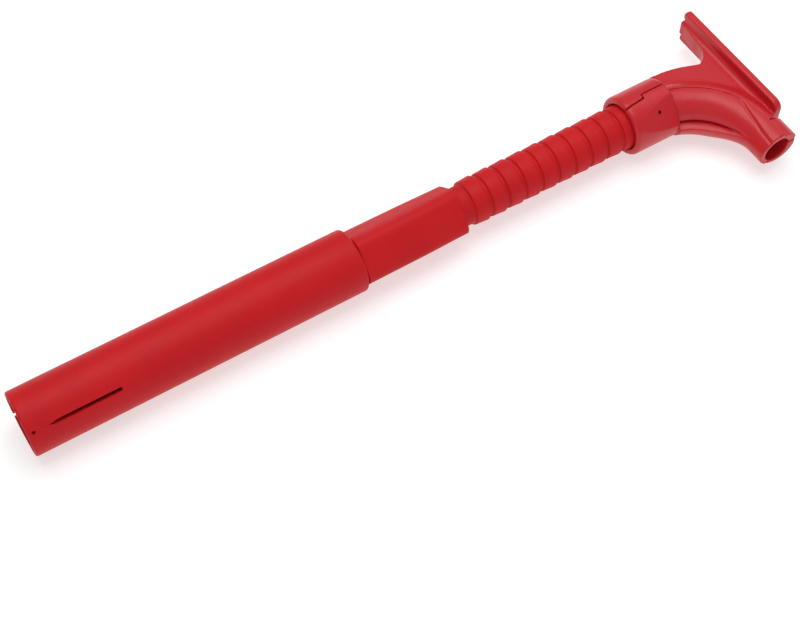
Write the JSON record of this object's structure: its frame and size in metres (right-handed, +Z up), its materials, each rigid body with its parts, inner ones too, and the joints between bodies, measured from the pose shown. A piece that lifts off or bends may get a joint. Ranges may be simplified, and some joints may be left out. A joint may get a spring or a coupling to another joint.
{
  "type": "spark plug boot with lead guide",
  "caption": "Straight tubular spark plug boot: slotted plug sleeve, flattened neck and ribbed collar, with a clip-on right-angle lead guide that carries a T-shaped pull bar.",
  "frame": {"origin": "under the middle of the bounding box, at the surface the part lies on", "axes": "+X along the boot from its open mouth to the pull bar, +Z up, the lead leaves the guide towards -Y"},
  "size_m": [0.2752, 0.0634, 0.022],
  "materials": {
    "sleeve_red": "matte",
    "silicone_red": "matte",
    "seal_red": "matte",
    "guide_red": "satin"
  },
  "bodies": {
    "boot": {"outer_sleeve": "sleeve_red", "nose_seal": "seal_red", "neck_body": "silicone_red", "ribbed_collar": "silicone_red"},
    "guide": {"guide_saddle": "guide_red"},
    "cover": {"guide_cover": "guide_red"}
  },
  "joints": [
    {"name": "guide_swivel", "type": "hinge", "parent": "boot", "child": "guide", "pos_m": [0.09535, 0.0047, 0.011], "axis": [1, 0, 0], "continuous": true},
    {"name": "cover_release", "type": "slide", "parent": "guide", "child": "cover", "axis": [0, -0.866, 0.5], "range_m": [0, 0.03]}
  ]
}
